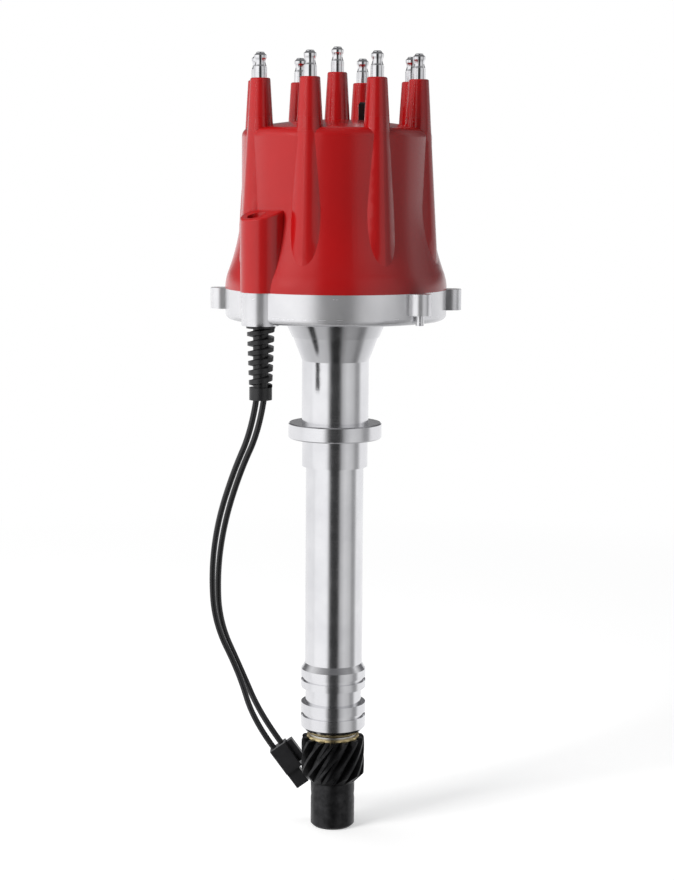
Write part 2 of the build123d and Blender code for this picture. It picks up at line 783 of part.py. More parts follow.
# ================================================================ rotor
standoff_bearings = (90.0, 270.0)
for number, bearing in enumerate(standoff_bearings, start=1):
    with BuildPart() as standoff:
        with BuildSketch(Plane.XY.offset(plate_top_z)):
            with Locations(bearing_vector(bearing) * standoff_centre_r):
                RegularPolygon(standoff_r, 6)
                Circle(rotor_screw_r, mode=Mode.SUBTRACT)
        extrude(amount=standoff_h)
    standoff.part.label = f"rotor_standoff_{number}"
    export_step(standoff.part, f"parts/rotor_standoff_{number}.step")

    with BuildPart() as rotor_screw:
        with BuildSketch(Plane.XY.offset(plate_top_z + 3)):
            with Locations(bearing_vector(bearing) * standoff_centre_r):
                Circle(rotor_screw_r)
        extrude(amount=rotor_base_top_z - plate_top_z - 3)
        with BuildSketch(Plane.XY.offset(rotor_base_top_z)):
            with Locations(bearing_vector(bearing) * standoff_centre_r):
                Circle(rotor_screw_head_r)
        extrude(amount=rotor_screw_head_h)
        fillet(rotor_screw.edges().sort_by(Axis.Z)[-1], 0.8)
        with BuildSketch(Plane.XY.offset(rotor_base_top_z + rotor_screw_head_h - 1)):
            with Locations(bearing_vector(bearing) * standoff_centre_r):
                Rectangle(3 * rotor_screw_head_r, 0.9)
        extrude(amount=1, mode=Mode.SUBTRACT)
    rotor_screw.part.label = f"rotor_screw_{number}"
    export_step(rotor_screw.part, f"parts/rotor_screw_{number}.step")

blade_bearing = tower_first + 2 * 360 / tower_count
with BuildPart() as rotor:
    with BuildSketch(Plane.XZ):
        with BuildLine():
            Polyline(
                (0, rotor_z),
                (rotor_r, rotor_z),
                (rotor_r, rotor_base_top_z),
                (rotor_hub_r, rotor_base_top_z),
                (rotor_neck_r, rotor_top_z - rotor_arm_t),
                (rotor_neck_r, rotor_top_z),
                (0, rotor_top_z),
                close=True,
            )
        make_face()
    revolve(axis=Axis.Z)
    hub_root = rotor.edges().filter_by(GeomType.CIRCLE)
    hub_root = hub_root.filter_by(lambda e: abs(e.radius - rotor_hub_r) < 0.01)
    fillet(hub_root, 2.5)
    arm_plane = Plane(
        origin=(0, 0, rotor_top_z - rotor_arm_t),
        x_dir=bearing_vector(blade_bearing),
        z_dir=(0, 0, 1),
    )
    with BuildSketch(arm_plane):
        with Locations((rotor_arm_r / 2 - rotor_arm_w / 4, 0)):
            Rectangle(rotor_arm_r - rotor_arm_w / 2, rotor_arm_w)
        with Locations((rotor_arm_r - rotor_arm_w / 2, 0)):
            Circle(rotor_arm_w / 2)
        with Locations((-rotor_hub_r / 2, 0)):
            Rectangle(rotor_hub_r, rotor_arm_w)
    extrude(amount=rotor_arm_t)
    # web under the arm, down to the base
    with BuildSketch(Plane(origin=(0, 0, 0), x_dir=bearing_vector(blade_bearing),
                           z_dir=bearing_vector(blade_bearing - 90))):
        with BuildLine():
            Polyline(
                (0, rotor_base_top_z),
                (rotor_hub_r + rotor_web_reach, rotor_base_top_z),
                (rotor_arm_r - rotor_arm_w / 2, rotor_top_z - rotor_arm_t),
                (0, rotor_top_z - rotor_arm_t),
                close=True,
            )
        make_face()
    extrude(amount=1.5, both=True)
    with BuildSketch(Plane.XY.offset(rotor_z)):
        with PolarLocations(standoff_centre_r, 2, start_angle=standoff_bearings[0]):
            Circle(rotor_screw_r)
    extrude(amount=rotor_base_t, mode=Mode.SUBTRACT)
rotor.part.label = "rotor"
export_step(rotor.part, "parts/rotor.step")

with BuildPart() as rotor_blade:
    blade_plane = Plane(
        origin=(0, 0, rotor_top_z),
        x_dir=bearing_vector(blade_bearing),
        z_dir=(0, 0, 1),
    )
    with BuildSketch(blade_plane):
        Circle(blade_w * 0.8)
        with Locations((blade_tip_r / 2, 0)):
            Rectangle(blade_tip_r, blade_w)
        Circle(blade_tip_r, mode=Mode.INTERSECT)
    extrude(amount=blade_t)
    # sprung contact that meets the carbon button
    with BuildSketch(Plane.XY.offset(blade_top_z)):
        Circle(blade_w / 2)
    extrude(amount=button_z - face_gap - blade_top_z)
    fillet(rotor_blade.edges().sort_by(Axis.Z)[-1], 0.8)
rotor_blade.part.label = "rotor_blade"
export_step(rotor_blade.part, "parts/rotor_blade.step")

# ================================================================ magnetic pickup
with BuildPart() as pickup_bracket:
    with BuildSketch(Plane.XY.offset(floor_z)):
        with Locations(((bracket_in_x + bracket_out_x) / 2, 0)):
            RectangleRounded(bracket_in_x - bracket_out_x, bracket_w, 3)
        with Locations((coil_x, pickup_screw_y), (coil_x, -pickup_screw_y)):
            Circle(pickup_screw_r, mode=Mode.SUBTRACT)
    extrude(amount=bracket_t)
pickup_bracket.part.label = "pickup_bracket"
export_step(pickup_bracket.part, "parts/pickup_bracket.step")

with BuildPart() as pickup_coil:
    with BuildSketch(Plane.XY.offset(bracket_top_z)):
        with Locations((coil_x, 0)):
            Rectangle(coil_len, coil_w)
    extrude(amount=coil_h)
    fillet(pickup_coil.edges().filter_by(Axis.X), 1.5)
    with BuildSketch(Plane.YZ.offset(coil_x)):
        with Locations((0, pole_z)):
            Rectangle(pole_w, pole_w)
    extrude(amount=coil_len, both=True, mode=Mode.SUBTRACT)
pickup_coil.part.label = "pickup_coil"
export_step(pickup_coil.part, "parts/pickup_coil.step")

with BuildPart() as pickup_pole:
    with BuildSketch(Plane.YZ.offset(pole_tip_x)):
        with Locations((0, pole_z)):
            Rectangle(pole_w, pole_w)
    extrude(amount=magnet_x + magnet_len / 2 - pole_tip_x)
pickup_pole.part.label = "pickup_pole"
export_step(pickup_pole.part, "parts/pickup_pole.step")

with BuildPart() as pickup_magnet:
    with BuildSketch(Plane.XY.offset(bracket_top_z)):
        with Locations((magnet_x, 0)):
            Rectangle(magnet_len, magnet_w)
    extrude(amount=coil_h)
    chamfer(pickup_magnet.edges().group_by(Axis.Z)[-1], 0.5)
pickup_magnet.part.label = "pickup_magnet"
export_step(pickup_magnet.part, "parts/pickup_magnet.step")

with BuildPart() as pickup_screws:
    screw_spots = ((coil_x, pickup_screw_y), (coil_x, -pickup_screw_y))
    with BuildSketch(Plane.XY.offset(floor_z - pickup_screw_depth)):
        with Locations(*screw_spots):
            Circle(pickup_screw_r)
    extrude(amount=pickup_screw_depth + bracket_t)
    with BuildSketch(Plane.XY.offset(bracket_top_z)):
        with Locations(*screw_spots):
            Circle(pickup_screw_head_r)
    extrude(amount=pickup_screw_head_h)
    fillet(pickup_screws.edges().group_by(Axis.Z)[-1], 0.7)
    with BuildSketch(Plane.XY.offset(bracket_top_z + pickup_screw_head_h - 0.9)):
        with Locations(*screw_spots):
            Rectangle(3 * pickup_screw_head_r, 0.9)
    extrude(amount=0.9, mode=Mode.SUBTRACT)
pickup_screws.part.label = "pickup_screws"
export_step(pickup_screws.part, "parts/pickup_screws.step")

# ================================================================ strain relief and leads
relief_plane = Plane(origin=(relief_x, relief_y, 0), x_dir=(1, 0, 0), z_dir=(0, -1, 0))
relief_axis = Axis((relief_x, relief_y, 0), (0, 0, 1))
relief_top_z = floor_z + 1.5
rib_top_z = bowl_bottom_z - relief_flange_h
rib_bottom_z = relief_end_z + relief_collar_h
with BuildPart() as strain_relief:
    # helical rib, trimmed to a taper, on a plain core
    with BuildLine() as rib_path:
        Helix(
            pitch=relief_pitch,
            height=rib_top_z - rib_bottom_z,
            radius=relief_core_r - 0.3,
            center=(relief_x, relief_y, rib_bottom_z),
        )
    rib_w = 0.34 * relief_pitch
    rib_reach = relief_rib_r - relief_core_r + 0.8
    rib_plane = Plane(origin=rib_path.line @ 0, x_dir=(1, 0, 0), z_dir=rib_path.line % 0)
    with BuildSketch(rib_plane):
        with BuildLine():
            Polyline(
                (0, -rib_w),
                (rib_reach, -rib_w / 2),
                (rib_reach, rib_w / 2),
                (0, rib_w),
                close=True,
            )
        make_face()
    sweep(path=rib_path.line, is_frenet=True)
    with BuildSketch(relief_plane):
        with BuildLine():
            Polyline(
                (0, rib_bottom_z),
                (relief_rib_end_r, rib_bottom_z),
                (relief_rib_r, rib_top_z),
                (0, rib_top_z),
                close=True,
            )
        make_face()
    revolve(axis=relief_axis, mode=Mode.INTERSECT)
    with BuildSketch(relief_plane):
        with BuildLine():
            Polyline(
                (0, relief_end_z),
                (relief_collar_r, relief_end_z),
                (relief_collar_r, rib_bottom_z),
                (relief_core_r, rib_bottom_z),
                (relief_core_r, rib_top_z),
                (relief_flange_r, rib_top_z),
                (relief_flange_r, bowl_bottom_z),
                (relief_hole_r, bowl_bottom_z),
                (relief_hole_r, relief_top_z),
                (0, relief_top_z),
                close=True,
            )
        make_face()
    revolve(axis=relief_axis)
strain_relief.part.label = "strain_relief"
export_step(strain_relief.part, "parts/strain_relief.step")

# short leads inside the bowl, from the coil's side to the strain relief
inner_lead_z = floor_z + inner_lead_h
coil_side_y = -coil_w / 2
with BuildPart() as bowl_leads:
    for start_x, turn_y, end_x, end_y in (
        (coil_x + 2.5, -21.0, relief_x + 1.3, relief_y),
        (coil_x - 3.0, -20.5, relief_x - 1.2, relief_y + 0.8),
    ):
        with BuildLine() as inner_path:
            FilletPolyline(
                (start_x, coil_side_y, inner_lead_z),
                (start_x, turn_y, inner_lead_z),
                (end_x, end_y, inner_lead_z),
                (end_x, end_y, relief_top_z),
                radius=2.2,
            )
        with BuildSketch(Plane(origin=inner_path.line @ 0, z_dir=inner_path.line % 0)):
            Circle(inner_lead_r)
        sweep(path=inner_path.line)
bowl_leads.part.label = "bowl_leads"
export_step(bowl_leads.part, "parts/bowl_leads.step")

for side, route in (("left", lead_left_route), ("right", lead_right_route)):
    radii = corner_radii(route)
    print(f"lead_{side} radii", [round(radius, 1) for radius in radii])
    with BuildPart() as lead:
        with BuildLine() as lead_path:
            FilletPolyline(*route, radius=radii)
        with BuildSketch(Plane(origin=lead_path.line @ 0, z_dir=lead_path.line % 0)):
            Circle(lead_r)
        sweep(path=lead_path.line)
    lead_len = lead_path.wire().length
    tube_volume = pi * lead_r**2 * lead_len
    print(f"lead_{side} length {lead_len:.1f}, "
          f"volume {lead.part.volume:.1f} of {tube_volume:.1f}")
    lead.part.label = f"lead_{side}"
    export_step(lead.part, f"parts/lead_{side}.step")

# ================================================================ connector
connector_axis = Vector(sin(radians(connector_tilt)), 0, -cos(radians(connector_tilt)))
connector_side = Vector(cos(radians(connector_tilt)), 0, sin(radians(connector_tilt)))
connector_plane = Plane(origin=connector_centre, x_dir=connector_side, z_dir=connector_axis)
nose_x = (nose_w - connector_w) / 2
nose_plane = connector_plane.offset(connector_len)
with BuildPart() as connector_shell:
    with BuildSketch(connector_plane):
        RectangleRounded(connector_w, connector_d, 0.7)
    extrude(amount=connector_len)
    with BuildSketch(connector_plane.offset(1)):
        with Locations((connector_w / 2 + latch_w / 2, -latch_back)):
            Rectangle(latch_w, connector_d * 0.55)
    extrude(amount=latch_len)
    with BuildSketch(nose_plane):
        with Locations((nose_x, 0)):
            RectangleRounded(nose_w, nose_d, 0.6)
    extrude(amount=nose_len)
    with BuildSketch(nose_plane.offset(1.5)):
        with Locations((nose_x, 0)):
            Rectangle(nose_w - 2 * connector_wall, nose_d - 2 * connector_wall)
    extrude(amount=nose_len, mode=Mode.SUBTRACT)
connector_shell.part.label = "connector_shell"
export_step(connector_shell.part, "parts/connector_shell.step")

with BuildPart() as connector_terminals:
    with BuildSketch(nose_plane.offset(1.5)):
        with Locations((nose_x - nose_w / 5, 0), (nose_x + nose_w / 5, 0)):
            Circle(connector_pin_r)
    extrude(amount=nose_len - 3)
connector_terminals.part.label = "connector_terminals"
export_step(connector_terminals.part, "parts/connector_terminals.step")

# ================================================================ cap
# one screw column, standing on +X: a round post with a sloping top and a screw well
with BuildPart() as column:
    with BuildSketch(Plane.XY.offset(rim_z)):
        with Locations((column_centre_r, 0)):
            Circle(column_r)
    extrude(amount=column_top_z + 4 - rim_z)
    slope_plane = Plane(
        origin=(cap_r, 0, column_top_z),
        x_dir=(cos(radians(column_slope)), 0, -sin(radians(column_slope))),
        z_dir=(sin(radians(column_slope)), 0, cos(radians(column_slope))),
    )
    split(bisect_by=slope_plane, keep=Keep.BOTTOM)
    fillet(column.faces().sort_by(Axis.Z)[-1].edges(), column_round)

with BuildPart() as cap:
    with BuildSketch(Plane.XZ):
        with BuildLine():
            Polyline(
                (0, rim_z - cap_lip_h),
                (cap_lip_r, rim_z - cap_lip_h),
                (cap_lip_r, rim_z),
                (cap_rim_r, rim_z),
            )
            TangentArc(
                (cap_rim_r, rim_z),
                (flare_knee_r, flare_knee_z),
                tangent=(0, 1),
            )
            TangentArc(
                (cap_r, flare_top_z),
                (flare_knee_r, flare_knee_z),
                tangent=(0, -1),
            )
            Line((cap_r, flare_top_z), (cap_r, deck_rim_z))
            ThreePointArc(
                (cap_r, deck_rim_z),
                (cap_r / 2, deck_rim_z + 0.75 * deck_dome),
                (0, deck_rim_z + deck_dome),
            )
            Line((0, deck_rim_z + deck_dome), (0, rim_z - cap_lip_h))
        make_face()
    revolve(axis=Axis.Z)
    deck_edge = cap.edges().filter_by(GeomType.CIRCLE)
    deck_edge = deck_edge.filter_by(lambda e: abs(e.radius - cap_r) < 0.01).sort_by(Axis.Z)[-1]
    fillet(deck_edge, deck_round)
    # towers, carried on down the wall as ribs
    tower_spread = tan(radians(tower_draft))
    tower_h = tower_top_z - tower_tip_z
    with Locations(Plane.XY.offset(tower_tip_z + tower_h / 2)):
        with PolarLocations(tower_centre_r, tower_count, start_angle=tower_first):
            Cone(tower_top_r + tower_h * tower_spread, tower_top_r, tower_h)
    tower_rims = cap.edges().group_by(Axis.Z)[-1]
    fillet(tower_rims, tower_round)
    coil_tower_h = coil_tower_z - deck_rim_z
    with Locations((0, 0, deck_rim_z + coil_tower_h / 2)):
        Cone(tower_top_r + coil_tower_h * tower_spread, tower_top_r, coil_tower_h)
    fillet(cap.edges().group_by(Axis.Z)[-1], tower_round)
    with PolarLocations(0, 2, start_angle=column_bearing):
        add(column.part)
    # hollow
    with BuildSketch(Plane.XZ):
        with BuildLine():
            Polyline(
                (0, rim_z - cap_lip_h),
                (cap_mouth_r, rim_z - cap_lip_h),
                (cap_mouth_r, cap_mouth_top_z),
                (cap_in_r, cap_in_bottom_z),
                (cap_in_r, cap_in_top_z - cap_in_round),
            )
            TangentArc(
                (cap_in_r, cap_in_top_z - cap_in_round),
                (cap_in_r - cap_in_round, cap_in_top_z),
                tangent=(0, 1),
            )
            Polyline(
                (cap_in_r - cap_in_round, cap_in_top_z),
                (0, cap_in_top_z),
                (0, rim_z - cap_lip_h),
            )
        make_face()
    revolve(axis=Axis.Z, mode=Mode.SUBTRACT)
    # button boss, then every bore: stems, button, screw wells and the vent's seat
    with BuildSketch(Plane.XY.offset(button_boss_z)):
        Circle(button_boss_r)
    extrude(amount=cap_in_top_z - button_boss_z)
    with BuildSketch(Plane.XY.offset(button_boss_z)):
        Circle(button_r + slip_fit)
    extrude(amount=coil_stem_z - button_boss_z, mode=Mode.SUBTRACT)
    with BuildSketch(Plane.XY.offset(coil_stem_z)):
        Circle(stem_r)
    extrude(amount=coil_tower_z - coil_stem_z, mode=Mode.SUBTRACT)
    with BuildSketch(Plane.XY.offset(electrode_z)):
        with PolarLocations(tower_centre_r, tower_count, start_angle=tower_first):
            Circle(stem_r)
    extrude(amount=tower_top_z - electrode_z, mode=Mode.SUBTRACT)
    with BuildSketch(Plane.XY.offset(screw_seat_z)):
        with PolarLocations(screw_centre_r, 2, start_angle=column_bearing):
            Circle(screw_well_r)
    extrude(amount=column_top_z - screw_seat_z, mode=Mode.SUBTRACT)
    with BuildSketch(Plane.XY.offset(rim_z)):
        with PolarLocations(screw_centre_r, 2, start_angle=column_bearing):
            Circle(screw_shank_r + slip_fit)
    extrude(amount=screw_seat_z - rim_z, mode=Mode.SUBTRACT)
    with BuildSketch(Plane.XY.offset(vent_seat_z)):
        with Locations((vent_x, vent_y)):
            Rectangle(vent_w, vent_w)
    extrude(amount=vent_h, mode=Mode.SUBTRACT)
cap.part.label = "cap"
export_step(cap.part, "parts/cap.step")

with BuildPart() as cap_vent:
    with BuildSketch(Plane.XY.offset(vent_seat_z)):
        with Locations((vent_x, vent_y)):
            Rectangle(vent_w, vent_w)
    extrude(amount=vent_h)
    fillet(cap_vent.edges().group_by(Axis.Z)[-1], 1.5)
cap_vent.part.label = "cap_vent"
export_step(cap_vent.part, "parts/cap_vent.step")

for number, bearing in enumerate(column_span, start=1):
    with BuildPart() as cap_screw:
        with BuildSketch(Plane.XY.offset(screw_seat_z - screw_len)):
            with Locations(bearing_vector(bearing) * screw_centre_r):
                Circle(screw_shank_r)
        extrude(amount=screw_len)
        with BuildSketch(Plane.XY.offset(screw_seat_z)):
            with Locations(bearing_vector(bearing) * screw_centre_r):
                Circle(screw_head_r)
        extrude(amount=screw_head_h)
        fillet(cap_screw.edges().sort_by(Axis.Z)[-1], 0.6)
        with BuildSketch(Plane.XY.offset(screw_seat_z + screw_head_h - 1.4)):
            with Locations(bearing_vector(bearing) * screw_centre_r):
                Rectangle(3 * screw_head_r, 1.1)
        extrude(amount=1.4, mode=Mode.SUBTRACT)
    cap_screw.part.label = f"cap_screw_{number}"
    export_step(cap_screw.part, f"parts/cap_screw_{number}.step")


def terminal_profile(seat_z, stem_z):
    """Half section of a spark plug style terminal on a tower, with its stem below."""
    base_z = seat_z + terminal_base_h
    groove_z = base_z + terminal_groove_h
    neck_z = groove_z + terminal_neck_h
    head_z = neck_z + terminal_flare_h
    crown_z = head_z + terminal_head_h
    top_z = seat_z + terminal_h
    Spline(
        (terminal_r - 0.15, groove_z),
        (terminal_neck_r, neck_z),
        (terminal_head_r, head_z),
    )
    Line((terminal_head_r, head_z), (terminal_head_r, crown_z))
    Line((terminal_head_r, crown_z), (terminal_tip_r, top_z - terminal_crown_round))
    ThreePointArc(
        (terminal_tip_r, top_z - terminal_crown_round),
        (terminal_tip_r - 0.3 * terminal_crown_round, top_z - 0.3 * terminal_crown_round),
        (terminal_tip_r - terminal_crown_round, top_z),
    )
    Polyline(
        (terminal_tip_r - terminal_crown_round, top_z),
        (0, top_z),
        (0, stem_z),
        (stem_r, stem_z),
        (stem_r, seat_z),
        (terminal_r, seat_z),
        (terminal_r, base_z),
        (terminal_r - terminal_groove_d, base_z),
        (terminal_r - terminal_groove_d, groove_z),
        (terminal_r - 0.15, groove_z),
    )


with BuildPart() as coil_terminal:
    with BuildSketch(Plane.XZ):
        with BuildLine():
            terminal_profile(coil_tower_z, coil_stem_z)
        make_face()
    revolve(axis=Axis.Z)
coil_terminal.part.label = "coil_terminal"
export_step(coil_terminal.part, "parts/coil_terminal.step")

for number in range(1, tower_count + 1):
    bearing = tower_first + (number - 1) * 360 / tower_count
    spot = bearing_vector(bearing) * tower_centre_r
    terminal_plane = Plane(origin=spot, x_dir=(1, 0, 0), z_dir=(0, -1, 0))
    with BuildPart() as plug_terminal:
        with BuildSketch(terminal_plane):
            with BuildLine():
                terminal_profile(tower_top_z, electrode_z)
            make_face()
        revolve(axis=Axis(spot, (0, 0, 1)))
    plug_terminal.part.label = f"plug_terminal_{number}"
    export_step(plug_terminal.part, f"parts/plug_terminal_{number}.step")

with BuildPart() as carbon_button:
    with BuildSketch(Plane.XY.offset(button_z)):
        Circle(button_r)
    extrude(amount=button_len)
    fillet(carbon_button.edges().sort_by(Axis.Z)[0], 1.2)
carbon_button.part.label = "carbon_button"
export_step(carbon_button.part, "parts/carbon_button.step")

with BuildPart() as button_spring:
    spring_len = coil_stem_z - button_z - button_len
    button_spring_turns = 5
    turn_h = spring_len / button_spring_turns
    with BuildSketch(Plane.XZ):
        for turn in range(button_spring_turns):
            with Locations((button_r - turn_h / 2, coil_stem_z - (turn + 0.5) * turn_h)):
                Circle(turn_h / 2)
        with Locations((button_r - turn_h / 2, coil_stem_z - spring_len / 2)):
            Rectangle(turn_h / 2, spring_len)
    revolve(axis=Axis.Z)
button_spring.part.label = "button_spring"
export_step(button_spring.part, "parts/button_spring.step")
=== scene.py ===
import bpy
import math
from mathutils import Matrix, Vector


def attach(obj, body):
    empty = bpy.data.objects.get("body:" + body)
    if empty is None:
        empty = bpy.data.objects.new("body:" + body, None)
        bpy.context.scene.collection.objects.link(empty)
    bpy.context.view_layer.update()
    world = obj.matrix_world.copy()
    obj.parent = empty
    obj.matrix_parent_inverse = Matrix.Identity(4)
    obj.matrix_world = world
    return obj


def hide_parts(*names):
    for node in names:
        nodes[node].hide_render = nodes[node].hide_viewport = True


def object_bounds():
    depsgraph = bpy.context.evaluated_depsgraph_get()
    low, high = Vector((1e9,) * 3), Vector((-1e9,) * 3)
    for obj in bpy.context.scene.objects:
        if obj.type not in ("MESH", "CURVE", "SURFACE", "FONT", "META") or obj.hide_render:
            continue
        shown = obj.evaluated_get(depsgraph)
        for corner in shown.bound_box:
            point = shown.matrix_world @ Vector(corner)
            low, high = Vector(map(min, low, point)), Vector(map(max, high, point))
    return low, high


# Looks of the ignition distributor: materials, the two free leads, light and camera.
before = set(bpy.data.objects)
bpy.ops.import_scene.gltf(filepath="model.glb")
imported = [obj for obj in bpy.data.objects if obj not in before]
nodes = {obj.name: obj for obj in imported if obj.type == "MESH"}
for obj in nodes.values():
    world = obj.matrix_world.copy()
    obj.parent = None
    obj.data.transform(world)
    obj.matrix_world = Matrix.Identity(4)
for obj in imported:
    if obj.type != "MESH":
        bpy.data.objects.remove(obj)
cad_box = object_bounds()
scene = bpy.context.scene
scene.view_settings.view_transform = "Standard"


# ---------------------------------------------------------------- node helpers
class Surface:
    """A material with a Principled shader and a few short ways to add nodes."""

    def __init__(self, name, **values):
        self.material = bpy.data.materials.new(name)
        self.material.use_nodes = True
        self.tree = self.material.node_tree
        self.shader = self.tree.nodes["Principled BSDF"]
        for socket, value in values.items():
            self.shader.inputs[socket.replace("_", " ")].default_value = value
        self.place = self.add("ShaderNodeTexCoord").outputs["Object"]

    def add(self, kind, links=None, **settings):
        node = self.tree.nodes.new(kind)
        for key, value in settings.items():
            setattr(node, key, value)
        for socket, source in (links or {}).items():
            if isinstance(source, bpy.types.NodeSocket):
                self.tree.links.new(source, node.inputs[socket])
            else:
                node.inputs[socket].default_value = source
        return node

    def noise(self, scale, detail=3.0, stretch=(1, 1, 1), roughness=0.55):
        mapping = self.add("ShaderNodeMapping", {"Vector": self.place, "Scale": stretch})
        node = self.add("ShaderNodeTexNoise", {"Vector": mapping.outputs[0], "Scale": scale,
                                               "Detail": detail, "Roughness": roughness})
        return node.outputs["Fac"]

    def math(self, operation, a, b=0.0, clamp=False):
        node = self.add("ShaderNodeMath", {0: a, 1: b}, operation=operation, use_clamp=clamp)
        return node.outputs[0]

    def rerange(self, source, low, high, to_low=0.0, to_high=1.0):
        node = self.add("ShaderNodeMapRange", {"Value": source, "From Min": low, "From Max": high,
                                               "To Min": to_low, "To Max": to_high})
        return node.outputs[0]

    def blend(self, factor, a, b):
        node = self.add("ShaderNodeMix", data_type="RGBA")
        for socket, source in ((0, factor), (6, a), (7, b)):
            if isinstance(source, bpy.types.NodeSocket):
                self.tree.links.new(source, node.inputs[socket])
            else:
                node.inputs[socket].default_value = source
        return node.outputs[2]

    def colour(self, source):
        self.tree.links.new(source, self.shader.inputs["Base Color"])

    def roughness(self, source):
        self.tree.links.new(source, self.shader.inputs["Roughness"])

    def bump(self, height, distance, strength=1.0, after=None):
        links = {"Height": height, "Distance": distance, "Strength": strength}
        if after is not None:
            links["Normal"] = after
        out = self.add("ShaderNodeBump", links).outputs[0]
        self.tree.links.new(out, self.shader.inputs["Normal"])
        return out

    def turned(self, period):
        """Height of tool marks left by turning about Z, on walls and faces alike."""
        split = self.add("ShaderNodeSeparateXYZ", {0: self.place})
        flat = self.add("ShaderNodeCombineXYZ", {0: split.outputs[0], 1: split.outputs[1]})
        radius = self.add("ShaderNodeVectorMath", {0: flat.outputs[0]}, operation="LENGTH").outputs["Value"]
        along = self.math("MULTIPLY", self.math("ADD", radius, split.outputs[2]), 1 / period)
        node = self.add("ShaderNodeTexNoise", {"W": along, "Scale": 1.0, "Detail": 2.0},
                        noise_dimensions="1D")
        return node.outputs["Fac"]

    def height(self):
        return self.add("ShaderNodeSeparateXYZ", {0: self.place}).outputs[2]


def dress(surface, *names):
    for name in names:
        obj = nodes[name]
        obj.data.materials.clear()
        obj.data.materials.append(surface.material)


def rgb(r, g, b):
    return (r, g, b, 1.0)


def numbered(stem, count):
    return [f"{stem}_{n}" for n in range(1, count + 1)]


# ---------------------------------------------------------------- metals
RING_EDGE = (0.0585, 0.0605)       # heights between which the tube's polish turns into the ring's satin
billet = Surface("machined_aluminium", Metallic=1.0, Anisotropic=0.35)
billet.colour(billet.blend(billet.rerange(billet.noise(45, 4), 0.35, 0.7),
                           rgb(0.80, 0.80, 0.815), rgb(0.70, 0.70, 0.72)))
tool_marks = billet.turned(0.0004)
broad_marks = billet.turned(0.0009)
polish = billet.rerange(billet.math("ADD", tool_marks, billet.noise(160, 3)), 0.6, 1.4, 0.13, 0.23)
satin_ring = billet.rerange(billet.height(), *RING_EDGE, 0.0, 0.05)
billet.roughness(billet.math("ADD", polish, satin_ring))
metal_share = billet.rerange(billet.height(), *RING_EDGE, 1.0, 0.72)
billet.tree.links.new(metal_share, billet.shader.inputs["Metallic"])
billet.bump(tool_marks, 0.00001, 0.3, after=billet.bump(broad_marks, 0.00002, 0.4))
dress(billet, "housing")


def plain_metal(name, light, dark, rough, period, **values):
    made = Surface(name, Metallic=1.0, **values)
    made.colour(made.blend(made.rerange(made.noise(220, 4), 0.35, 0.7), light, dark))
    marks = made.turned(period)
    made.roughness(made.rerange(made.math("ADD", marks, made.noise(400, 2)), 0.6, 1.4, rough, rough + 0.12))
    made.bump(marks, 0.00001, 0.4)
    return made


chrome = plain_metal("terminal_chrome", rgb(0.86, 0.86, 0.87), rgb(0.74, 0.74, 0.76), 0.07, 0.0004)
plated = plain_metal("plated_steel", rgb(0.66, 0.66, 0.66), rgb(0.50, 0.50, 0.51), 0.24, 0.0003)
ground = plain_metal("bearing_steel", rgb(0.72, 0.72, 0.74), rgb(0.60, 0.60, 0.62), 0.14, 0.0002)
spring = plain_metal("spring_steel", rgb(0.50, 0.50, 0.52), rgb(0.33, 0.33, 0.35), 0.28, 0.0004)
dark_steel = plain_metal("dark_steel", rgb(0.13, 0.13, 0.14), rgb(0.07, 0.07, 0.08), 0.36, 0.0003)
brass = plain_metal("terminal_brass", rgb(0.78, 0.58, 0.26), rgb(0.62, 0.44, 0.18), 0.22, 0.0003)
washer_brass = plain_metal("thrust_brass", rgb(0.80, 0.66, 0.36), rgb(0.66, 0.52, 0.26), 0.26, 0.0002)
bronze = plain_metal("bronze", rgb(0.62, 0.42, 0.22), rgb(0.42, 0.27, 0.13), 0.42, 0.0004)
magnet = plain_metal("magnet", rgb(0.22, 0.22, 0.23), rgb(0.13, 0.13, 0.14), 0.5, 0.0005)
carbon = plain_metal("carbon", rgb(0.08, 0.08, 0.08), rgb(0.04, 0.04, 0.04), 0.55, 0.0005)

oxide = Surface("black_oxide", Metallic=0.85)
oxide.colour(oxide.blend(oxide.rerange(oxide.noise(260, 5), 0.35, 0.68),
                         rgb(0.020, 0.020, 0.021), rgb(0.044, 0.044, 0.046)))
oxide.roughness(oxide.rerange(oxide.noise(700, 3), 0.3, 0.7, 0.30, 0.46))
oxide.bump(oxide.noise(2600, 3), 0.00003, 0.5, after=oxide.bump(oxide.turned(0.0003), 0.00001, 0.4))

dress(chrome, "coil_terminal", *numbered("plug_terminal", 8))
dress(plated, "thrust_shim", "pickup_bracket", "pickup_screws", "pickup_pole", "shaft", "advance_cam",
      "advance_sleeve", "reluctor", "advance_plate", *numbered("cap_screw", 2), *numbered("weight_pin", 2),
      *numbered("rotor_screw", 2))
dress(ground, "bearing_outer_race", "bearing_inner_race", "bearing_balls")
dress(spring, "bearing_snap_ring", "cam_clip", "button_spring", "gear_roll_pin",
      *numbered("advance_spring", 2))
dress(dark_steel, *numbered("weight", 2))
dress(brass, "rotor_blade", "connector_terminals", *numbered("rotor_standoff", 2))
dress(washer_brass, "thrust_washer", "sleeve_washer")
dress(bronze, "lower_bush")
dress(magnet, "pickup_magnet")
dress(carbon, "carbon_button")
dress(oxide, "drive_gear")

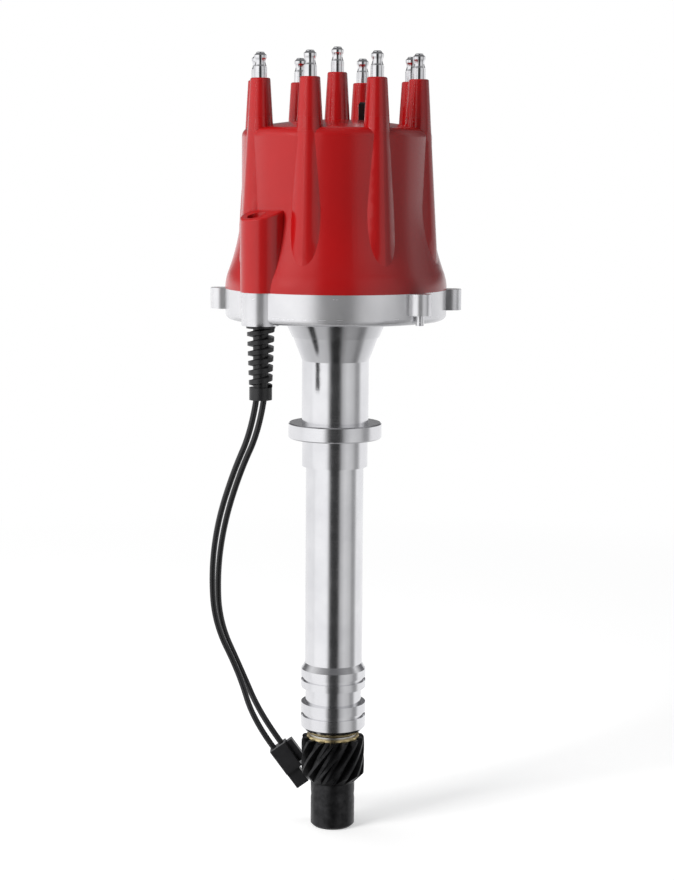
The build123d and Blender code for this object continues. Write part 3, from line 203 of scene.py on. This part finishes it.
# ---------------------------------------------------------------- plastics and rubber
red = Surface("red_cap", IOR=1.5, Specular_IOR_Level=0.28, Coat_Weight=0.72, Coat_Roughness=0.17)
red.colour(red.blend(red.rerange(red.noise(28, 4), 0.3, 0.72),
                     rgb(0.43, 0.0035, 0.0045), rgb(0.38, 0.0025, 0.0032)))
grain = red.noise(900, 2)
DECK_EDGE = (0.1496, 0.1502)       # the deck is glossier than the walls
TOWER_FOOT = (0.1560, 0.1570)      # and the towers above it are satin again
deck_gloss = red.rerange(red.height(), *DECK_EDGE, 0.42, 0.24)
tower_satin = red.rerange(red.height(), *TOWER_FOOT, 0.0, 0.18)
deck_gloss = red.math("ADD", deck_gloss, tower_satin)
red.roughness(red.math("ADD", deck_gloss, red.rerange(grain, 0.3, 0.7, -0.03, 0.04)))
red.bump(grain, 0.00002, 0.08, after=red.bump(red.noise(60, 2), 0.0001, 0.06))
dress(red, "cap")


def moulded(name, light, dark, rough, texture, depth, **values):
    made = Surface(name, **values)
    made.colour(made.blend(made.rerange(made.noise(140, 4), 0.3, 0.7), light, dark))
    fine = made.noise(texture, 3)
    made.roughness(made.rerange(fine, 0.3, 0.7, rough - 0.05, rough + 0.08))
    made.bump(fine, depth, 0.5)
    return made


black = moulded("black_plastic", rgb(0.022, 0.022, 0.023), rgb(0.014, 0.014, 0.015), 0.42, 1800, 0.00004)
rotor_black = moulded("rotor_plastic", rgb(0.03, 0.03, 0.032), rgb(0.018, 0.018, 0.02), 0.38, 1500, 0.00004)
nylon = moulded("connector_plastic", rgb(0.022, 0.022, 0.024), rgb(0.012, 0.012, 0.013), 0.36, 2200, 0.00003)
rubber = moulded("black_rubber", rgb(0.020, 0.020, 0.021), rgb(0.010, 0.010, 0.011), 0.34, 1400, 0.00003)
jacket = moulded("wire_insulation", rgb(0.014, 0.014, 0.015), rgb(0.009, 0.009, 0.010), 0.24, 900, 0.00002)
dress(black, "cap_vent", "pickup_coil", "stop_bushing")
dress(rotor_black, "rotor")
dress(nylon, "connector_shell")
dress(rubber, "strain_relief")
dress(jacket, "bowl_leads")

# ---------------------------------------------------------------- the two free leads
LEAD_D = 0.003
LEADS = {
    "lead_left": [(-0.0379, -0.028, 0.022), (-0.0402, -0.0273, 0.007), (-0.0494, -0.0203, -0.0145),
                  (-0.058, -0.0069, -0.042), (-0.0619, 0.0065, -0.070), (-0.0606, 0.0129, -0.098),
                  (-0.0483, 0.0145, -0.124), (-0.0408, 0.011, -0.1481), (-0.0302, 0.011, -0.16263)],
    "lead_right": [(-0.0343, -0.028, 0.022), (-0.0366, -0.0271, 0.007), (-0.0459, -0.0195, -0.014),
                   (-0.0546, -0.0049, -0.042), (-0.059, 0.0096, -0.070), (-0.0584, 0.017, -0.098),
                   (-0.0476, 0.019, -0.123), (-0.037, 0.011, -0.1453), (-0.0264, 0.011, -0.15987)],
}


def lead(name, points):
    curve = bpy.data.curves.new(name + "_wire", "CURVE")
    curve.dimensions = "3D"
    curve.bevel_depth = LEAD_D / 2
    curve.bevel_resolution = 6
    curve.resolution_u = 24
    curve.use_fill_caps = True
    spline = curve.splines.new("NURBS")
    spline.points.add(len(points) - 1)
    for point, place in zip(spline.points, points):
        point.co = (*place, 1.0)
    spline.order_u = 3
    spline.use_endpoint_u = True
    curve.materials.append(jacket.material)
    wire = bpy.data.objects.new(name + "_wire", curve)
    scene.collection.objects.link(wire)
    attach(wire, "housing")
    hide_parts(name)
    wire.visible_glossy = False
    return wire


left_wire = lead("lead_left", LEADS["lead_left"])
right_wire = lead("lead_right", LEADS["lead_right"])

# ---------------------------------------------------------------- stage
floor_z = cad_box[0][2] - 0.0002
bpy.ops.mesh.primitive_circle_add(vertices=96, radius=6.0, fill_type="NGON", location=(0, 0, floor_z))
floor = bpy.context.object
floor.name = "floor"
floor.visible_glossy = False
pale = Surface("floor", Roughness=0.7)
pale.colour(pale.blend(pale.rerange(pale.noise(3, 2), 0.3, 0.7),
                       rgb(0.80, 0.80, 0.80), rgb(0.78, 0.78, 0.78)))
pale.bump(pale.noise(300, 2), 0.0001, 0.1)
path = pale.add("ShaderNodeLightPath")
seen = pale.math("MAXIMUM", path.outputs["Is Camera Ray"], path.outputs["Is Transmission Ray"])
reach = pale.add("ShaderNodeVectorMath", {0: pale.place}, operation="LENGTH").outputs["Value"]
far = pale.rerange(reach, 0.25, 0.9)
white = pale.add("ShaderNodeEmission", {"Color": rgb(1, 1, 1), "Strength": 1.0})
lift = pale.add("ShaderNodeEmission", {"Color": rgb(1, 1, 1), "Strength": pale.math("MULTIPLY", seen, 0.5)})
near_mix = pale.add("ShaderNodeAddShader")
pale.tree.links.new(pale.shader.outputs[0], near_mix.inputs[0])
pale.tree.links.new(lift.outputs[0], near_mix.inputs[1])
far_mix = pale.add("ShaderNodeMixShader", {0: pale.math("MULTIPLY", far, seen)})
pale.tree.links.new(near_mix.outputs[0], far_mix.inputs[1])
pale.tree.links.new(white.outputs[0], far_mix.inputs[2])
pale.tree.links.new(far_mix.outputs[0], pale.tree.nodes["Material Output"].inputs["Surface"])
floor.data.materials.append(pale.material)

# What metal and gloss mirror, by compass direction: the white backdrop behind the object, and soft
# boxes with dark gaps in front of it. Each pair is degrees from the front (minus is left) and brightness.
STUDIO = [(-180, 1.00), (-100, 1.00), (-90, 0.95), (-80, 1.10), (-28, 1.10), (-15, 0.05), (16, 0.04),
          (25, 0.52), (42, 0.76), (66, 0.62), (78, 0.34), (90, 0.40), (100, 1.00), (180, 1.00)]
world = bpy.data.worlds.new("studio")
scene.world = world
world.use_nodes = True
tree = world.node_tree
tree.nodes.clear()


def world_node(kind, links=None, **settings):
    node = tree.nodes.new(kind)
    for key, value in settings.items():
        setattr(node, key, value)
    for socket, source in (links or {}).items():
        if isinstance(source, bpy.types.NodeSocket):
            tree.links.new(source, node.inputs[socket])
        else:
            node.inputs[socket].default_value = source
    return node


way = world_node("ShaderNodeTexCoord").outputs["Generated"]
axes = world_node("ShaderNodeSeparateXYZ", {0: way})
toward = world_node("ShaderNodeMath", {0: axes.outputs[1], 1: -1.0}, operation="MULTIPLY")
compass = world_node("ShaderNodeMath", {0: axes.outputs[0], 1: toward.outputs[0]}, operation="ARCTAN2")
turned = world_node("ShaderNodeMapRange", {"Value": compass.outputs[0],
                                           "From Min": -math.pi, "From Max": math.pi})
ramp = world_node("ShaderNodeValToRGB", {0: turned.outputs[0]})
stops = ramp.color_ramp.elements
for place, (degrees, level) in enumerate(STUDIO):
    ends = {0: 0, len(STUDIO) - 1: -1}
    stop = stops[ends[place]] if place in ends else stops.new((degrees + 180) / 360)
    stop.color = (level, level, level * 1.01, 1)
upper_front = world_node("ShaderNodeMapRange", {"Value": axes.outputs[2], "From Min": 0.45, "From Max": 0.8})
upper_back = world_node("ShaderNodeMapRange", {"Value": axes.outputs[2], "From Min": 0.02, "From Max": 0.13})
behind = world_node("ShaderNodeMapRange", {"Value": axes.outputs[1], "From Min": 0.1, "From Max": 0.6})
upper = world_node("ShaderNodeMix", {0: behind.outputs[0], 2: upper_front.outputs[0],
                                     3: upper_back.outputs[0]}, data_type="FLOAT")
lower = world_node("ShaderNodeMapRange", {"Value": axes.outputs[2], "From Min": -0.25, "From Max": -0.8,
                                          "To Min": 1.0, "To Max": 0.45})
above = world_node("ShaderNodeMix", {0: upper.outputs[0], 6: ramp.outputs[0], 7: (0.16, 0.16, 0.165, 1)},
                   data_type="RGBA")
room = world_node("ShaderNodeBackground", {"Color": above.outputs[2], "Strength": lower.outputs[0]})
ambient = world_node("ShaderNodeBackground", {"Color": (0.97, 0.985, 1, 1), "Strength": 0.24})
backdrop = world_node("ShaderNodeBackground", {"Color": (1, 1, 1, 1), "Strength": 1.0})
rays = world_node("ShaderNodeLightPath")
glossy = world_node("ShaderNodeMixShader", {0: rays.outputs["Is Glossy Ray"], 1: ambient.outputs[0],
                                            2: room.outputs[0]})
direct = world_node("ShaderNodeMath", {0: rays.outputs["Is Camera Ray"],
                                       1: rays.outputs["Is Transmission Ray"]}, operation="MAXIMUM")
final = world_node("ShaderNodeMixShader", {0: direct.outputs[0], 1: glossy.outputs[0],
                                           2: backdrop.outputs[0]})
world_node("ShaderNodeOutputWorld", {"Surface": final.outputs[0]})


def lamp(name, place, aim, width, height, watts, colour=(1, 1, 1)):
    data = bpy.data.lights.new(name, "AREA")
    data.shape = "RECTANGLE"
    data.size = width
    data.size_y = height
    data.energy = watts
    data.color = colour
    made = bpy.data.objects.new(name, data)
    made.location = place
    made.rotation_mode = "QUATERNION"
    made.rotation_quaternion = (Vector(aim) - Vector(place)).to_track_quat("-Z", "Y")
    made.visible_glossy = False
    scene.collection.objects.link(made)


lamp("key", (-1.2, -0.9, 0.75), (0, 0, 0.03), 0.6, 0.9, 24.0, (1, 0.99, 0.98))
lamp("top", (-0.3, 0.2, 1.3), (0, 0, 0.1), 0.8, 0.8, 6.0)

# ---------------------------------------------------------------- camera, at the photograph's angle
PITCH = math.radians(8.0)
ROLL = math.radians(0.4)
DISTANCE = 0.983
SIDE_STEP = 0.00104286     # moves the axis off the middle of the picture
target = Vector((0, 0, -0.00125))
data = bpy.data.cameras.new("camera")
data.sensor_width = 36.0
data.lens = 81.0
camera = bpy.data.objects.new("camera", data)
back = Vector((0, -math.cos(PITCH), math.sin(PITCH)))
camera.location = target + back * DISTANCE
turn = Matrix.Rotation(math.pi / 2 - PITCH, 4, "X") @ Matrix.Rotation(ROLL, 4, "Z")
camera.rotation_mode = "QUATERNION"
camera.rotation_quaternion = turn.to_quaternion()
camera.location.x += SIDE_STEP
data.clip_start = 0.01
data.clip_end = 50
scene.collection.objects.link(camera)
scene.camera = camera
